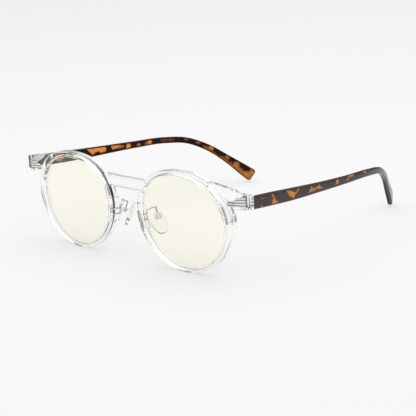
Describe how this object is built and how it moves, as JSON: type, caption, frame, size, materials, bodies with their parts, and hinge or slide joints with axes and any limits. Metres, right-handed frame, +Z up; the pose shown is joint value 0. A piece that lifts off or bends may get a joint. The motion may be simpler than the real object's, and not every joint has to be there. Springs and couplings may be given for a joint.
{
  "type": "glasses",
  "caption": "Round blue light glasses with a clear one-piece front, pale tinted lenses, metal nose pad arms and patterned brown temples that fold on sunk metal hinges.",
  "frame": {"origin": "middle of the bottom of the open glasses' bounding box, on the plane they stand on", "axes": "+X to the wearer's left, -Y the way the lenses face, +Y back along the temples, +Z up"},
  "size_m": [0.1448, 0.1435, 0.0465],
  "materials": {
    "clear_front": "polished clear plastic",
    "lens": "polished, coated, very pale yellow",
    "steel": "satin silver metal",
    "patterned_temple": "polished, amber with dark brown patches",
    "soft_pad": "smooth clear",
    "pad_core": "clear"
  },
  "bodies": {
    "front": {"front_frame": "clear_front", "lens_left": "lens", "lens_right": "lens", "front_hinge_left": "steel", "front_hinge_right": "steel", "hinge_screw_left": "steel", "hinge_screw_right": "steel", "pad_arm_left": "steel", "pad_arm_right": "steel", "pad_box_left": "steel", "pad_box_right": "steel", "pad_screw_left": "steel", "pad_screw_right": "steel"},
    "temple_left": {"temple_left": "patterned_temple", "temple_hinge_left": "steel"},
    "temple_right": {"temple_right": "patterned_temple", "temple_hinge_right": "steel"},
    "pad_left": {"nose_pad_left": "soft_pad", "pad_insert_left": "pad_core"},
    "pad_right": {"nose_pad_right": "soft_pad", "pad_insert_right": "pad_core"}
  },
  "joints": [
    {"name": "left_temple_fold", "type": "hinge", "parent": "front", "child": "temple_left", "pos_m": [0.0677, -0.0624, 0.03615], "axis": [0, -0.0401, 0.9992], "range_deg": [0, 82]},
    {"name": "right_temple_fold", "type": "hinge", "parent": "front", "child": "temple_right", "pos_m": [-0.0677, -0.0624, 0.03615], "axis": [0, 0.0401, -0.9992], "range_deg": [0, 74]},
    {"name": "left_pad_rock", "type": "hinge", "parent": "front", "child": "pad_left", "pos_m": [0.01112, -0.05902, 0.01998], "axis": [-0.4967, -0.8192, -0.2868], "range_deg": [-12, 12]},
    {"name": "right_pad_rock", "type": "hinge", "parent": "front", "child": "pad_right", "pos_m": [-0.01112, -0.05902, 0.01998], "axis": [-0.4967, 0.8192, 0.2868], "range_deg": [-12, 12]}
  ]
}
